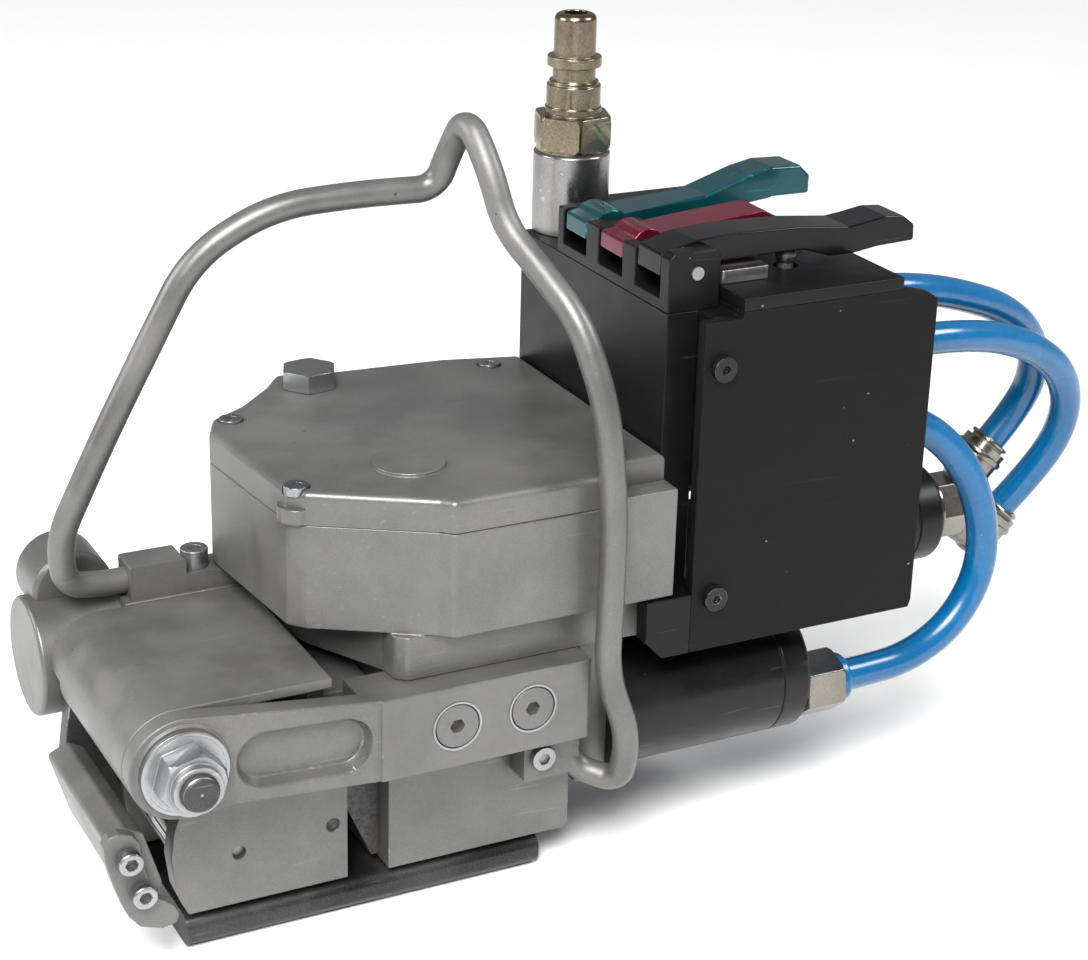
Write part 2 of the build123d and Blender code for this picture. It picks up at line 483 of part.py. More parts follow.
def tension_nodes():
    my, mz, mr = TENSION_MOTOR
    wy, wz = worm_axis()
    wheel_x, wheel_z = WHEEL
    turn = degrees(atan2(wz - mz, wy - my))

    spin = rod("x", mr - WALL - 1.2, my, mz, PLATE_X1 + 5, TENSION_END - 10)
    spin += rod("x", 3.5, my, mz, GEAR_X0 - 0.5, TENSION_END - 5)
    for i in range(5):
        spin += Pos(0, my, mz) * Rot(72 * i, 0, 0) * box(PLATE_X1 + 5, TENSION_END - 10, -0.6, 0.6, 6,
                                                         mr - WALL - 0.6)
    pinion = Rot(0, 90, 0) * gear(PINION_T, SPUR_M, GEAR_X1 - GEAR_X0)
    NODES["tension_rotor"] = spin + Pos((GEAR_X0 + GEAR_X1) / 2, my, mz) * Rot(turn + 90, 0, 0) * pinion

    spur = Rot(0, 90, 0) * gear(SPUR_T, SPUR_M, GEAR_X1 - GEAR_X0 - 1)
    shaft = rod("x", SHAFT_R, wy, wz, -122, PLATE_X0 + 5)
    shaft += Pos((GEAR_X0 + GEAR_X1) / 2, wy, wz) * Rot(turn + 270 + 180 / SPUR_T, 0, 0) * spur
    NODES["worm_shaft"] = shaft + Pos(wheel_x, wy, wz) * Rot(0, 90, 0) * worm(WORM_R, 24)

    wheel = rod("y", 5.0, wheel_x, wheel_z, JAW_Y0 + 1.5, wy + 9)
    wheel += Pos(wheel_x, wy, wheel_z) * Rot(90, 0, 0) * Rot(0, 0, 90) * gear(WORM_WHEEL_T, 1.0, 7)
    tread = rod("y", WHEEL_R, wheel_x, wheel_z, 8.4, 8.4 + STRAP_W - 1.0)
    for i in range(36):
        tread -= Pos(wheel_x, 0, wheel_z) * Rot(0, 10 * i, 0) * box(WHEEL_R - 0.7, WHEEL_R + 1, 8, 37,
                                                                    -0.35, 0.35)
    NODES["tension_wheel"] = wheel + tread

    boss = rod("x", BOSS_R, WORM_Y, WORM_Z, BOSS_X0, gear_case_x0())
    boss = fillet(boss.edges().filter_by(GeomType.CIRCLE).sort_by(Axis.X)[0], 1.0)
    hub = rod("y", 9.5, -118.8, -68.7, HUB_Y0, 73.0)
    hub = fillet(hub.edges().filter_by(GeomType.CIRCLE), 1.2)
    pad = box(-110.0, -80.0, 47.4, 60.0, -82.0, -69.2)
    web = box(-96.0, -66.0, 52.0, 66.0, -80.0, -69.2) + box(-80.6, -66.0, 52.0, 66.0, -80.0, HOUSE_FLOOR)
    drum = rod("y", WORM_WHEEL_T / 2 + 4.5, wheel_x, wheel_z, wy - 7, wy + 7)
    casting = boss + hub + pad + web + drum
    casting -= rod("x", WORM_R + 2.2, wy, wz, -121, -70)
    casting -= rod("x", SHAFT_R + RUN_GAP, wy, wz, -124, 0)
    casting -= rod("y", WORM_WHEEL_T / 2 + 1.8, wheel_x, wheel_z, wy - 4.5, wy + 4.5)
    casting -= rod("y", 5.0 + RUN_GAP, wheel_x, wheel_z, 30, wy + 5.5)
    casting -= rod("y", 5.0 + MOVE_GAP, wheel_x, wheel_z, wy + 4, wy + 9.3)
    casting -= rod("y", BOLT_R, NOSE_X, NOSE_Z, 40, 49.5)
    NODES["worm_casting"] = casting - box(-200, 200, 39, FOOT_Y1 + 0.5, -140, -60)

    plate = box(PLATE_X0, PLATE_X1, 20, 66, -92, HOUSE_FLOOR - PLATE_DROP)
    plate += box(PLATE_X0, PLATE_X1, 2.0, 30, -113, CAST_BOTTOM)
    plate += case_hull(0, gear_case_x0(), PLATE_X1) - case_hull(WALL, GEAR_X0 - 1, PLATE_X0)
    plate &= box(-40, 0, 0, 100, -120, HOUSE_FLOOR - PLATE_DROP)
    plate -= rod("z", SHAFT_R + BUSH_T, *shaft_b(), CAST_BOTTOM - 1, HOUSE_FLOOR)
    plate -= rod("x", 3.5 + RUN_GAP, my, mz, -30, 0)
    plate -= rod("x", SHAFT_R + RUN_GAP, wy, wz, -40, PLATE_X0 + 5.5)
    plate -= rod("x", 4.0 + RUN_GAP, SEAL_MOTOR[0], SEAL_MOTOR[1], -30, 0)
    NODES["motor_plate"] = plate

    NODES["tension_motor_housing"] = motor_can(my, mz, mr, TENSION_END, 3.5)


# ================= nose, arm, jaws =================

def frame_nodes():
    arm = prism("y", [(NOSE_X, NOSE_Z + NOSE_R), (-73, CAST_BOTTOM), (ARM_X1, CAST_BOTTOM), (ARM_X1,
                                                                                             ARM_BOTTOM),
                      (-73, ARM_BOTTOM), (-112, NOSE_Z - 10.4), (NOSE_X, NOSE_Z)], ARM_NEAR, ARM_INNER)
    arm += rod("y", NOSE_R, NOSE_X, NOSE_Z, ARM_NEAR, ARM_INNER)
    arm -= box(-140, -72.4, ARM_NEAR - 1, ARM_NEAR + 0.6, -110, -60) - rod("y", 10.2, NOSE_X, NOSE_Z,
                                                                           -20, 0)
    arm -= box(-140, -76.0, ARM_THIN, 10, -110, -60)
    arm = fillet(arm.edges().filter_by(Axis.Z).sort_by(Axis.X)[-2:], 1.2)
    mouth = Plane(origin=(0, ARM_NEAR, 0), x_dir=(1, 0, 0), z_dir=(0, 1, 0))
    ends = [Pos(-98.6, 82.6) * Circle(6.8), Pos(-80.6, 83.6) * Circle(6.8)]
    scoop = extrude(mouth * make_hull(ends[0].edges() + ends[1].edges()), amount=3.4, taper=24)
    arm -= scoop
    arm -= rod("y", BOLT_R + 0.1, NOSE_X, NOSE_Z, -20, 20)
    spots = [(-54.5, -84.0), (-36.1, -83.6)]
    for x, z in spots:
        arm -= rod("y", 5.3, x, z, ARM_NEAR - 1, ARM_NEAR + 2.6)
        arm -= rod("y", 2.5, x, z, ARM_NEAR, ARM_INNER + 1)
    NODES["near_arm"] = arm
    screws = [rod("y", 5.1, x, z, ARM_NEAR - 0.2, ARM_NEAR + 2.6) + rod("y", 2.4, x, z, ARM_NEAR + 2.6,
                                                                        ARM_INNER)
              - hexagon("y", 3.0, x, z, ARM_NEAR - 1, ARM_NEAR + 1.6) for x, z in spots]
    NODES["arm_screws"] = joined(screws)

    ring = rod("y", NOSE_R, NOSE_X, NOSE_Z, ARM_THIN, COVER_END) - box(NOSE_X, 0, -20, 60, -140, 0)
    skin = ring + box(NOSE_X, -81.5, ARM_THIN, COVER_END, NOSE_Z + NOSE_R - 2.4, NOSE_Z + NOSE_R)
    skin -= rod("y", NOSE_R - 2.4, NOSE_X, NOSE_Z, -20, 60)
    skin -= box(-140, -80, FOOT_Y0 - MOVE_GAP, 60, -140, NOSE_Z)
    skin -= rod("x", BOSS_R + 0.2, WORM_Y, WORM_Z, -140, -60)
    NODES["nose_cover"] = skin
    bolt = rod("y", BOLT_R, NOSE_X, NOSE_Z, -22.0, 49.4)
    bolt = chamfer(bolt.edges().filter_by(GeomType.CIRCLE).sort_by(Axis.Y)[0], 0.9)
    NODES["nose_bolt"] = bolt + rod("y", 7.0, NOSE_X, NOSE_Z, ARM_THIN, FOOT_Y0 - MOVE_GAP)
    nut = hexagon("y", 13.0, NOSE_X, NOSE_Z, ARM_NEAR - 7.6, ARM_NEAR - 1.6, 14)
    nut &= Pos(NOSE_X, ARM_NEAR - 3.4, NOSE_Z) * Sphere(7.9)
    nut += rod("y", 5.4, NOSE_X, NOSE_Z, ARM_NEAR - 9.6, ARM_NEAR - 7.6)
    nut += rod("y", 8.8, NOSE_X, NOSE_Z, ARM_NEAR - 1.6, ARM_NEAR)
    NODES["nose_nut"] = nut - rod("y", BOLT_R, NOSE_X, NOSE_Z, -30, 0)

    block = prism("y", [(-110, -93.0), (-74.7, -93.0), (-74.7, -124.6), (-112.3, -124.6), (-114.9, -118.0),
                        (-115.9, -110.0), (-115.0, -103.5), (-112.9, -97.5)], JAW_Y0, 38.8)
    block -= box(-130, -70, 8.0, 36.0, -130, -80)
    block += box(-97.0, -79.5, JAW_Y0, 38.8, -93.0, -88.6)
    block += box(-84.0, -80.2, JAW_Y0, 38.8, -93.0, NOSE_Z + NOSE_R - 2.4)
    block += box(-84.0, -66.0, 8.0, 36.0, -90.0, CAST_BOTTOM) - box(-90, -60, 0, 60, -80, -60)
    block -= rod("y", 5.0 + RUN_GAP, WHEEL[0], WHEEL[1], 2.9 + 1.2, 50)
    block -= rod("y", WHEEL_R + 1.0, WHEEL[0], WHEEL[1], 8.0, 36.0)
    block -= box(-97.5, -79.0, ARM_NEAR, 2.9, -130, -60)
    for x, z in ((-100.4, -111.9), (-78.2, -110.3)):
        block -= rod("y", 1.6, x, z, 2.0, 4.4)
    NODES["tension_block"] = block


# ================= foot and strap guide =================

def foot_nodes():
    sole = box(SOLE_X0, SOLE_X1, 3.4, FOOT_Y1, SOLE_BOTTOM, SOLE_TOP)
    near = sole.edges().filter_by(Axis.X).sort_by(Axis.Y)[:2]
    sole = fillet(near, 3.2)
    NODES["sole_plate"] = sole
    gripper = box(-106.0, -90.0, 8.4, 35.6, SOLE_TOP, SOLE_TOP + 1.2)
    for i in range(8):
        gripper -= box(-105.2 + 2 * i, -104.4 + 2 * i, 8, 36, SOLE_TOP + 0.6, SOLE_TOP + 2)
    NODES["gripper_plate"] = gripper
    wall = prism("y", [(NOSE_X - 8.6, NOSE_Z), (NOSE_X + 8.6, NOSE_Z), (-100, -112), (SOLE_X1, -116),
                       (SOLE_X1, SOLE_TOP),
                       (SOLE_X0, SOLE_TOP), (-126, -113), (-128, -100)], FOOT_Y0, FOOT_Y1)
    wall += rod("y", 8.6, NOSE_X, NOSE_Z, FOOT_Y0, FOOT_Y1)
    wall -= rod("y", BOLT_R + RUN_GAP, NOSE_X, NOSE_Z, 30, 60)
    wall -= rod("y", 9.6, WHEEL[0], WHEEL[1] - 1.2, 30, 60)
    NODES["foot_wall"] = wall

    bar = prism("y", [(-132.0, -98.6), (-127.4, -96.4), (-123.4, -98.6), (-119.6, -111.4), (-122.2, -118.5),
                      (-127.5, -114.0)], -2.0, FOOT_Y0)
    NODES["guide_bar"] = fillet(bar.edges().filter_by(Axis.Y).sort_by(Axis.Z)[-3:], 1.2)
    hook = prism("y", [(-132.9, -98.4), (-131.6, -96.4), (-129.4, -95.9), (-126.7, -96.8), (-125.0, -99.1),
                       (-124.6, -104.1), (-123.3, -109.4), (-121.8, -113.3), (-120.2, -114.4), (-118.0,
                                                                                                -116.2),
                       (-117.0, -118.4), (-117.6, -120.5), (-120.7, -121.1), (-125.6, -119.5), (-128.0,
                                                                                                -116.6),
                       (-129.1, -114.1), (-131.1, -108.0), (-132.6, -102.1)], -5.0, -2.0)
    spots = [(-127.8, -102.2), (-125.1, -110.9)]
    for x, z in spots:
        hook -= rod("y", 1.5, x, z, -9, 0)
    NODES["guide_plate"] = hook
    NODES["guide_screws"] = joined([
        fillet(rod("y", 2.7, x, z, -8.0, -5.0).edges().filter_by(GeomType.CIRCLE).sort_by(Axis.Y)[0], 0.5)
        + rod("y", 1.5, x, z, -5.0, -2.0) - hexagon("y", 2.5, x, z, -9, -6.3) for x, z in spots])


# ================= bail handle =================

BAIL_POINTS = [(-102, 53, -65.4), (-113, 52.5, -65.6), (-123.0, 50, -63.2), (-124.4, 47.5, -50.5),
               (-113.6, 45, -26.5), (-103.6, 44, -7.5), (-93.5, 43, 11.5), (-76, 41, 21.4), (-56, 39, 22.8),
               (-38.5, 38, 22.6), (-36.2, 35.5, 31.6), (-35.6, 28.5, 40.8), (-34.4, 19.5, 31.5),
               (-32.2, 15.5, 19.0), (-28.6, 6, 11.9), (-24.4, -5, 3.0), (-21.0, -12.4, -14.5),
               (-19.0, -14, -38.5), (-19.2, -14, -60.0), (-19.6, -14, -77.0), (-13.0, -13.4, -94.0),
               (-11.9, -8.4, -108.8), (-19.5, -2.0, -106.6), (-23.2, -0.6, -100.9), (-29.5, -0.6, -100.2)]


def bail_nodes():
    NODES["bail_handle"] = tube_path(BAIL_POINTS, BAIL_D, "bail")
    upper = box(-108.4, -81.6, 48.2, HUB_Y0 - 0.4, -69.2, -61.0)
    upper -= box(-95.2, -80.0, 48.0, 59.0, -64.8, -60.0)
    upper = fillet(upper.edges().filter_by(Axis.Y).sort_by(Axis.Z)[-3:], 0.6)
    hole = tube_path_plain(BAIL_POINTS[:3])
    upper -= hole
    lower = box(-34.4, -20.4, -4.0, JAW_Y0, -106.2, ARM_BOTTOM)
    lower = fillet(lower.edges().filter_by(Axis.Y), 0.6)
    NODES["bail_clamps"] = joined([upper, lower - NODES["bail_handle"]])
    upper_screw = rod("z", 3.2, -91.8, 52.6, -64.8, -60.4) - hexagon("z", 3.0, -91.8, 52.6, -62.4, -60)
    lower_screw = rod("y", 2.9, -30.0, -100.4, -5.6, -4.0) - hexagon("y", 2.5, -30.0, -100.4, -6, -4.8)
    NODES["case_screws"] = joined(lid_screws() + [upper_screw, lower_screw])


def tube_path_plain(points):
    """The straight end of the bail, as the hole that it fills."""
    a, b = Vector(*points[0]), Vector(*points[1])
    return Plane(origin=a, z_dir=b - a) * Pos(0, 0, 15) * Cylinder(BAIL_D / 2, 30)


# ================= hoses and rear fittings =================

PORT_SEAT, PORT_END = 57.5, 60.0                            # floor and mouth of a port's hose socket
HOSE_PORTS = [(22.0, -9.0), (13.0, -20.0), (9.0, -36.5)]     # (y, z) in the block's rear face
SEAL_FITTING = (4.0, -101.5)                                 # (y, z)

HOSE_UPPER = [(58, 22, -9), (72.5, 22, -9.3), (86.5, 23.0, -11.4), (100.0, 25.0, -15.4), (113.2, 27.3,
                                                                                          -20.6),
              (124.6, 30.4, -28.6), (131.8, 34.0, -39.6), (131.0, 37.0, -52.0), (122.0, 38.6, -63.0)]
HOSE_LOWER = [(58, 13, -20), (74.0, 13, -20), (89.6, 13.7, -20.8), (104.8, 16.0, -23.8), (119.2, 18.7,
                                                                                          -29.8),
              (131.4, 22.0, -39.4), (137.4, 26.3, -53.2), (134.2, 31.0, -67.8), (125.0, 35.2, -80.6)]
HOSE_SEAL = [(58, 9, -36.5), (71.5, 9, -37.4), (83.0, 8.2, -43.6), (92.2, 7.0, -54.4), (97.4, 5.8, -68.0),
             (97.0, 5.0, -82.0), (89.2, 4.6, -94.2), (76.6, 4.2, -100.6), (63.0, 4.0, -101.5),
             (SEAL_END + 7, 4.0, -101.5)]


def hose_nodes():
    my, mz, _ = TENSION_MOTOR
    NODES["hose_upper"] = tube_path(HOSE_UPPER, HOSE_D, "hose_upper")
    NODES["hose_lower"] = tube_path(HOSE_LOWER, HOSE_D, "hose_lower")
    NODES["hose_seal"] = tube_path(HOSE_SEAL, HOSE_D, "hose_seal")
    ports = []
    for y, z in HOSE_PORTS:
        port = rod("x", 4.2, y, z, BODY_X1 - 6, BODY_X1) + rod("x", 6.4, y, z, BODY_X1, PORT_END)
        port -= rod("x", HOSE_D / 2 + 0.3, y, z, PORT_SEAT, PORT_END + 1)
        ports.append(port - rod("x", 2.6, y, z, BODY_X1 - 7, PORT_END))
    NODES["hose_ports"] = joined(ports)

    banjo = rod("x", 9.6, my, mz, TENSION_END, TENSION_END + 2.4)
    banjo += hexagon("x", 15.0, my, mz, TENSION_END + 2.4, TENSION_END + 12.0)
    banjo += rod("x", 5.0, my, mz, TENSION_END + 12.0, TENSION_END + 14.5)
    NODES["swivel_body"] = banjo
    elbows = []
    for route, drop in ((HOSE_UPPER, 9.4), (HOSE_LOWER, 5.0)):
        tip, way = Vector(*route[-1]), (Vector(*route[-1]) - Vector(*route[-2])).normalized()
        root = Vector(TENSION_END + drop, my, mz)
        knee = tip + way * 9.0
        sleeve = Plane(origin=tip, z_dir=way) * Pos(0, 0, 4.5) * Cylinder(6.2, 9.0)
        link = Plane(origin=root, z_dir=knee - root) * Pos(0, 0,
                                                           (knee - root).length / 2) * Cylinder(4.6,
                                                                                                (knee
                                                                                                 - root).length)
        elbow = sleeve + link + Pos(*knee) * Sphere(5.4)
        elbows.append(elbow - NODES["swivel_body"])
    NODES["elbow_fittings"] = joined([elbows[0], elbows[1] - elbows[0]])


# ================= build and write =================

valve_nodes()
inlet_nodes()
housing_nodes()
sealing_nodes()
tension_nodes()
frame_nodes()
foot_nodes()
bail_nodes()
hose_nodes()

HOSES = ("hose_upper", "hose_lower", "hose_seal")
boxes = [solid.bounding_box() for name, solid in NODES.items() if name not in HOSES]
low = [min(getattr(b.min, k) for b in boxes) for k in "XYZ"]
high = [max(getattr(b.max, k) for b in boxes) for k in "XYZ"]
STAND = (-(low[0] + high[0]) / 2, -(low[1] + high[1]) / 2, -low[2])
print("stand offset", [round(v, 4) for v in STAND])

if __name__ == "__main__":
    os.makedirs("parts", exist_ok=True)
    for name, solid in NODES.items():
        export_step(Pos(*STAND) * solid, f"parts/{name}.step")
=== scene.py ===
# %% [markdown]
# # Pneumatic strapping tool
# The tool's shape and its joints come from the CAD model, which is loaded as a frame that never
# moves. This file gives it a camera and light, softened edges, painted and plated finishes, and
# the small fittings that the CAD leaves plain.

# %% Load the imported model
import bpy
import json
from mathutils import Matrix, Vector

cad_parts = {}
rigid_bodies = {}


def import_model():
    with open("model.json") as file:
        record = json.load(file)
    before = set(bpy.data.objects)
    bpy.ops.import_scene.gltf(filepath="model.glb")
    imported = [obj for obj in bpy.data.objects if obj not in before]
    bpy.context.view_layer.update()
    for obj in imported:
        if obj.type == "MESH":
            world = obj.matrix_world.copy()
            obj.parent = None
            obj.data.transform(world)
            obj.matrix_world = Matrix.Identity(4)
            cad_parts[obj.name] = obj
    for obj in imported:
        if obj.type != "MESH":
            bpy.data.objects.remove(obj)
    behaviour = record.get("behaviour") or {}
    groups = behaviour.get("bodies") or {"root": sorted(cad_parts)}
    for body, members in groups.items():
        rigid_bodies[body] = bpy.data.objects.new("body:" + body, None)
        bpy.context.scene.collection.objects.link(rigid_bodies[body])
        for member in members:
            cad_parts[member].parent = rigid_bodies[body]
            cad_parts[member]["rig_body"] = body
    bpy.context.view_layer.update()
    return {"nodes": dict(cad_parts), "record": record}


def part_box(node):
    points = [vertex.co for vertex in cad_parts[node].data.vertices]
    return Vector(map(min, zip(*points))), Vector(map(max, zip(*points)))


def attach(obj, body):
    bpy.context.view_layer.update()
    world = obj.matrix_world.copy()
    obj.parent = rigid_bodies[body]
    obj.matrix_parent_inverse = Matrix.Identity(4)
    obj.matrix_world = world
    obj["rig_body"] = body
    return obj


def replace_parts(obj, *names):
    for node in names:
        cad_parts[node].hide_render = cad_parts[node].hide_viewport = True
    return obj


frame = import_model()

# %% Blender's tools for meshes, angles and points
import json
from math import pi, radians
import bmesh
import bpy
from mathutils import Matrix, Vector
from mathutils.bvhtree import BVHTree
from mathutils.kdtree import KDTree

# %% [markdown]
# ## One datum for every piece
# The valve block's near top corner is the corner that the whole tool was measured from, so a
# place is written as millimetres from it: x to the rear, y away from the near side, z up. The
# front plate ends at that corner, so its box gives the datum in the frame's metres.

# %% The datum, and a place in metres
MM = 0.001
PLATE_T, PLATE_W = 8.0, 71.2
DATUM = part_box("front_plate")[1] - Vector((PLATE_T, PLATE_W, 0)) * MM


def at(x, y, z):
    return DATUM + Vector((x, y, z)) * MM


print("datum", [round(v, 5) for v in DATUM])

# %% [markdown]
# ## Camera
# A long lens from the near front corner, a little above the lid, keeps the block's edges almost
# parallel. The camera is aimed by turning its -Z axis to a point on the casting, which is easier
# to change than three angles, and then rolled a degree or two about its own view line.

# %% Camera
CAMERA_AT, AIM_AT = (-253.07, -427.08, 162.15), (-12.2, 31.9, -49.9)
ROLL = 1.63
LENS_MM, SENSOR_MM = 78.93, 36.0
camera = bpy.data.objects.new("camera", bpy.data.cameras.new("camera"))
camera.data.lens, camera.data.sensor_width = LENS_MM, SENSOR_MM
camera.data.shift_x, camera.data.shift_y = -0.0012, 0.0035
camera.data.clip_start, camera.data.clip_end = 0.02, 20
camera.location = at(*CAMERA_AT)
look = (at(*AIM_AT) - at(*CAMERA_AT)).to_track_quat("-Z", "Y").to_matrix()
camera.rotation_euler = (look @ Matrix.Rotation(radians(ROLL), 3, "Z")).to_euler()
bpy.context.scene.collection.objects.link(camera)
bpy.context.scene.camera = camera
print("camera at", [round(v, 4) for v in camera.location])

# %% [markdown]
# ## Air hoses
# Three polyurethane hoses carry air from the block to the two motors. A hose is one smooth curve,
# so each is a spline pulled towards a few points, with a round bevel for its wall. Order 3 and
# clamped ends are set after the points are in, or the spline would stay a row of straight runs.
# Each point carries the hose's radius, because Blender grows a curve's box by its points' radii.

# %% Hose routes, millimetres from the datum
HOSE_D = 8.0
ROUTES = {
    "hose_upper": [(58, 22, -9), (72.5, 22, -9.3), (86.5, 23.0, -11.4), (100.0, 25.0, -15.4),
                   (113.2, 27.3, -20.6), (124.6, 30.4, -28.6), (131.8, 34.0, -39.6), (131.0, 37.0, -52.0),
                   (122.0, 38.6, -63.0)],
    "hose_lower": [(58, 13, -20), (74.0, 13, -20), (89.6, 13.7, -20.8), (104.8, 16.0, -23.8),
                   (119.2, 18.7, -29.8), (131.4, 22.0, -39.4), (137.4, 26.3, -53.2), (134.2, 31.0, -67.8),
                   (125.0, 35.2, -80.6)],
    "hose_seal": [(58, 9, -36.5), (71.5, 9, -37.4), (83.0, 8.2, -43.6), (92.2, 7.0, -54.4),
                  (97.4, 5.8, -68.0), (97.0, 5.0, -82.0), (89.2, 4.6, -94.2), (76.6, 4.2, -100.6),
                  (63.0, 4.0, -101.5), (50, 4.0, -101.5)],
}


# %% Draw and declare each hose
hoses = []
for route_name, route in ROUTES.items():
    curve = bpy.data.curves.new(route_name, "CURVE")
    curve.dimensions = "3D"
    curve.bevel_depth, curve.bevel_resolution = 1.0, 6
    curve.resolution_u, curve.use_fill_caps = 12, True
    spline = curve.splines.new("NURBS")
    spline.points.add(len(route) - 1)
    for point, place in zip(spline.points, route):
        point.co = (*at(*place), 1.0)
        point.radius = HOSE_D / 2 * MM
    spline.order_u = 3
    spline.use_endpoint_u = True
    hose = bpy.data.objects.new("air_" + route_name, curve)
    bpy.context.scene.collection.objects.link(hose)
    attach(hose, "frame")
    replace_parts(hose, route_name)
    hoses.append(hose)
    print(hose.name, len(route), "points")

# %% [markdown]
# ## Floor and light
# The tool stands on a pale sheet. A wide soft sun from above the camera gives the even light of a
# product table, and three panels round the tool put long highlights on the round parts.

# %% Floor
FLOOR_HALF, FLOOR_GAP = 8.0, 0.0003
floor_mesh = bmesh.new()
bmesh.ops.create_grid(floor_mesh, x_segments=1, y_segments=1, size=FLOOR_HALF)
bmesh.ops.translate(floor_mesh, verts=floor_mesh.verts, vec=(0, 0, -FLOOR_GAP))
floor = bpy.data.objects.new("floor", bpy.data.meshes.new("floor"))
floor_mesh.to_mesh(floor.data)
floor_mesh.free()
bpy.context.scene.collection.objects.link(floor)
print("floor", tuple(round(v, 1) for v in floor.dimensions))

# %% Lights
LIGHTS = [("key_panel", (-420, -520, 560), 0.45, 9.0), ("side_panel", (-620, 260, 300), 0.40, 3.0),
          ("rear_panel", (520, -260, 460), 0.30, 3.0)]
for light_name, place, size, watts in LIGHTS:
    lamp = bpy.data.objects.new(light_name, bpy.data.lights.new(light_name, "AREA"))
    lamp.data.shape, lamp.data.size, lamp.data.energy = "DISK", size, watts
    lamp.location = at(*place)
    lamp.rotation_euler = (at(-20, 30, -60) - lamp.location).to_track_quat("-Z", "Y").to_euler()
    bpy.context.scene.collection.objects.link(lamp)
sun = bpy.data.objects.new("soft_sun", bpy.data.lights.new("soft_sun", "SUN"))
sun.data.angle, sun.data.energy = radians(30), 2.6
sun.rotation_euler = (radians(38), 0, radians(-32))
bpy.context.scene.collection.objects.link(sun)
world = bpy.data.worlds.new("studio")
world.use_nodes = True
world.node_tree.nodes["Background"].inputs["Color"].default_value = (0.96, 0.97, 1.0, 1.0)
world.node_tree.nodes["Background"].inputs["Strength"].default_value = 0.30
bpy.context.scene.world = world
bpy.context.scene.view_settings.view_transform = "Standard"
print("lights", len(LIGHTS) + 1)

# %% [markdown]
# ## Shared surface effects
# Cast paint, powder coat and plating all wear in the same few ways. Each way is a node group with
# its own inputs, so that a material only says how much of it there is. The groups put out masks
# and heights, and the shader stays in the material.


# %% A helper that starts a node group
def start_group(name, inputs, outputs):
    group = bpy.data.node_groups.new(name, "ShaderNodeTree")
    for label, kind, value in inputs:
        socket = group.interface.new_socket(label, in_out="INPUT", socket_type="NodeSocket" + kind)
        if value is not None:
            socket.default_value = value
    for label in outputs:
        group.interface.new_socket(label, in_out="OUTPUT", socket_type="NodeSocketFloat")
    return group, group.nodes.new("NodeGroupInput"), group.nodes.new("NodeGroupOutput")


# %% Helpers that add a node and wire it
def add_node(tree, kind, settings=(), **sockets):
    node = tree.nodes.new("ShaderNode" + kind)
    for key, value in dict(settings).items():
        setattr(node, key, value)
    for key, value in sockets.items():
        socket = node.inputs[int(key[1:]) if key[1:].isdigit() else key.replace("_", " ")]
        if isinstance(value, bpy.types.NodeSocket):
            tree.links.new(value, socket)
        else:
            socket.default_value = value
    return node


def arithmetic(tree, operation, first, second):
    return add_node(tree, "Math", {"operation": operation}, s0=first, s1=second).outputs[0]


def remap(tree, value, low, high, to_low=0.0, to_high=1.0):
    node = add_node(tree, "MapRange", {"interpolation_type": "SMOOTHSTEP"}, Value=value, From_Min=low,
                    From_Max=high, To_Min=to_low, To_Max=to_high)
    return node.outputs[0]


# %% [markdown]
# Grain is the orange peel of sprayed paint or the bite of a sand casting: two noises, a fine one
# for the bumps and a broad one for the drift of tone from place to place.

# %% Grain
grain, grain_in, grain_out = start_group(
    "grain", [("Vector", "Vector", None), ("Scale", "Float", 1500.0)], ["Height", "Tone", "Drift"])
fine = add_node(grain, "TexNoise", Vector=grain_in.outputs["Vector"], Scale=grain_in.outputs["Scale"],
                Detail=3.0, Roughness=0.6)
speck = add_node(grain, "TexNoise", Vector=grain_in.outputs["Vector"], Detail=2.0, Roughness=0.7,
                 Scale=arithmetic(grain, "MULTIPLY", grain_in.outputs["Scale"], 2.2))
broad = add_node(grain, "TexNoise", Vector=grain_in.outputs["Vector"], Scale=38.0, Detail=4.0, Roughness=0.6)
grain.links.new(fine.outputs[0], grain_out.inputs["Height"])
grain.links.new(remap(grain, speck.outputs[0], 0.3, 0.7), grain_out.inputs["Tone"])
grain.links.new(remap(grain, broad.outputs[0], 0.32, 0.68), grain_out.inputs["Drift"])
print("group", grain.name)

# %% [markdown]
# Paint goes first where a hand or a bench rubs it, which is along the edges. Each softened edge
# carries a number on its faces, and noise breaks the rubbed line up so that it isn't even.

# %% Edge wear
edge_wear, wear_in, wear_out = start_group(
    "edge_wear", [("Edge", "Float", 0.0), ("Vector", "Vector", None), ("Amount", "Float", 0.5)], ["Mask"])
rub = add_node(edge_wear, "TexNoise", Vector=wear_in.outputs["Vector"], Scale=260.0, Detail=5.0,
               Roughness=0.65)
shortfall = arithmetic(edge_wear, "SUBTRACT", wear_in.outputs["Amount"], 1.0)
patchy = arithmetic(edge_wear, "ADD", rub.outputs[0], shortfall)
rubbed = arithmetic(edge_wear, "MULTIPLY", wear_in.outputs["Edge"], remap(edge_wear, patchy, -0.05, 0.12))
edge_wear.links.new(rubbed, wear_out.inputs["Mask"])
print("group", edge_wear.name)
